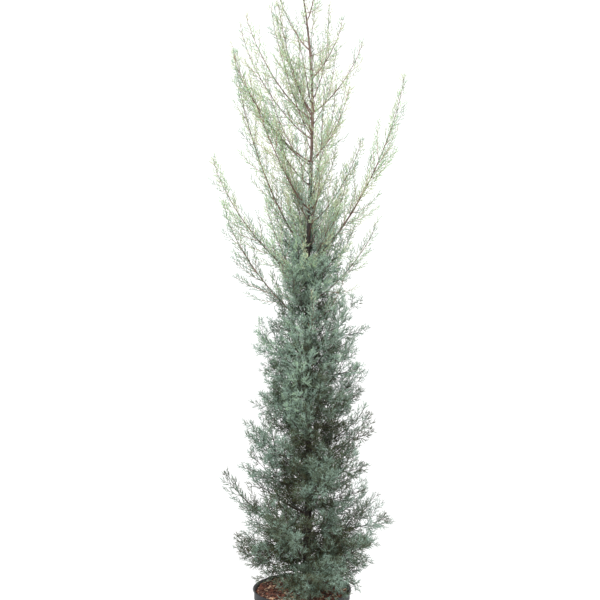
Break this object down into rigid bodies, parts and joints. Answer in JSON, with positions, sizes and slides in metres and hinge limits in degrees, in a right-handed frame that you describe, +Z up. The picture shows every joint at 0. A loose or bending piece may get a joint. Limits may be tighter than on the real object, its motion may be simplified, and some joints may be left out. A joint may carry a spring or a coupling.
{
  "type": "potted arizona cypress",
  "caption": "Young narrow Arizona cypress with blue-green plumes, dense below and open above, upswept boughs and a slim nodding leader, in a round nursery pot of soil.",
  "frame": {"origin": "middle of the pot's flat underside, where it stands on the ground", "axes": "+Z up along the tree; +X is the picture's right and -Y its front"},
  "size_m": [0.5983, 0.4873, 2.3763],
  "materials": {
    "pot": "satin black moulded plastic",
    "soil": "moist bark-based potting mix",
    "bark": "thin red-brown bark",
    "foliage": "matt, with a blue-grey bloom"
  },
  "bodies": {
    "root": {"bough_01": "bark", "bough_02": "bark", "bough_03": "bark", "bough_04": "bark", "bough_05": "bark", "bough_06": "bark", "bough_07": "bark", "bough_08": "bark", "bough_09": "bark", "bough_10": "bark", "bough_11": "bark", "bough_12": "bark", "foliage_01": "foliage", "foliage_02": "foliage", "foliage_03": "foliage", "foliage_04": "foliage", "foliage_05": "foliage", "foliage_06": "foliage", "foliage_07": "foliage", "foliage_08": "foliage", "foliage_09": "foliage", "foliage_10": "foliage", "foliage_11": "foliage", "foliage_12": "foliage", "foliage_13": "foliage", "foliage_14": "foliage", "foliage_15": "foliage", "foliage_16": "foliage", "foliage_17": "foliage", "foliage_18": "foliage", "foliage_19": "foliage", "foliage_20": "foliage", "foliage_21": "foliage", "foliage_22": "foliage", "foliage_23": "foliage", "foliage_24": "foliage", "foliage_25": "foliage", "foliage_26": "foliage", "foliage_27": "foliage", "foliage_28": "foliage", "foliage_29": "foliage", "foliage_30": "foliage", "foliage_31": "foliage", "foliage_32": "foliage", "foliage_33": "foliage", "foliage_34": "foliage", "foliage_35": "foliage", "foliage_36": "foliage", "foliage_37": "foliage", "foliage_38": "foliage", "foliage_39": "foliage", "foliage_40": "foliage", "foliage_41": "foliage", "foliage_42": "foliage", "foliage_43": "foliage", "foliage_44": "foliage", "pot": "pot", "soil": "soil", "trunk": "bark"}
  },
  "joints": []
}
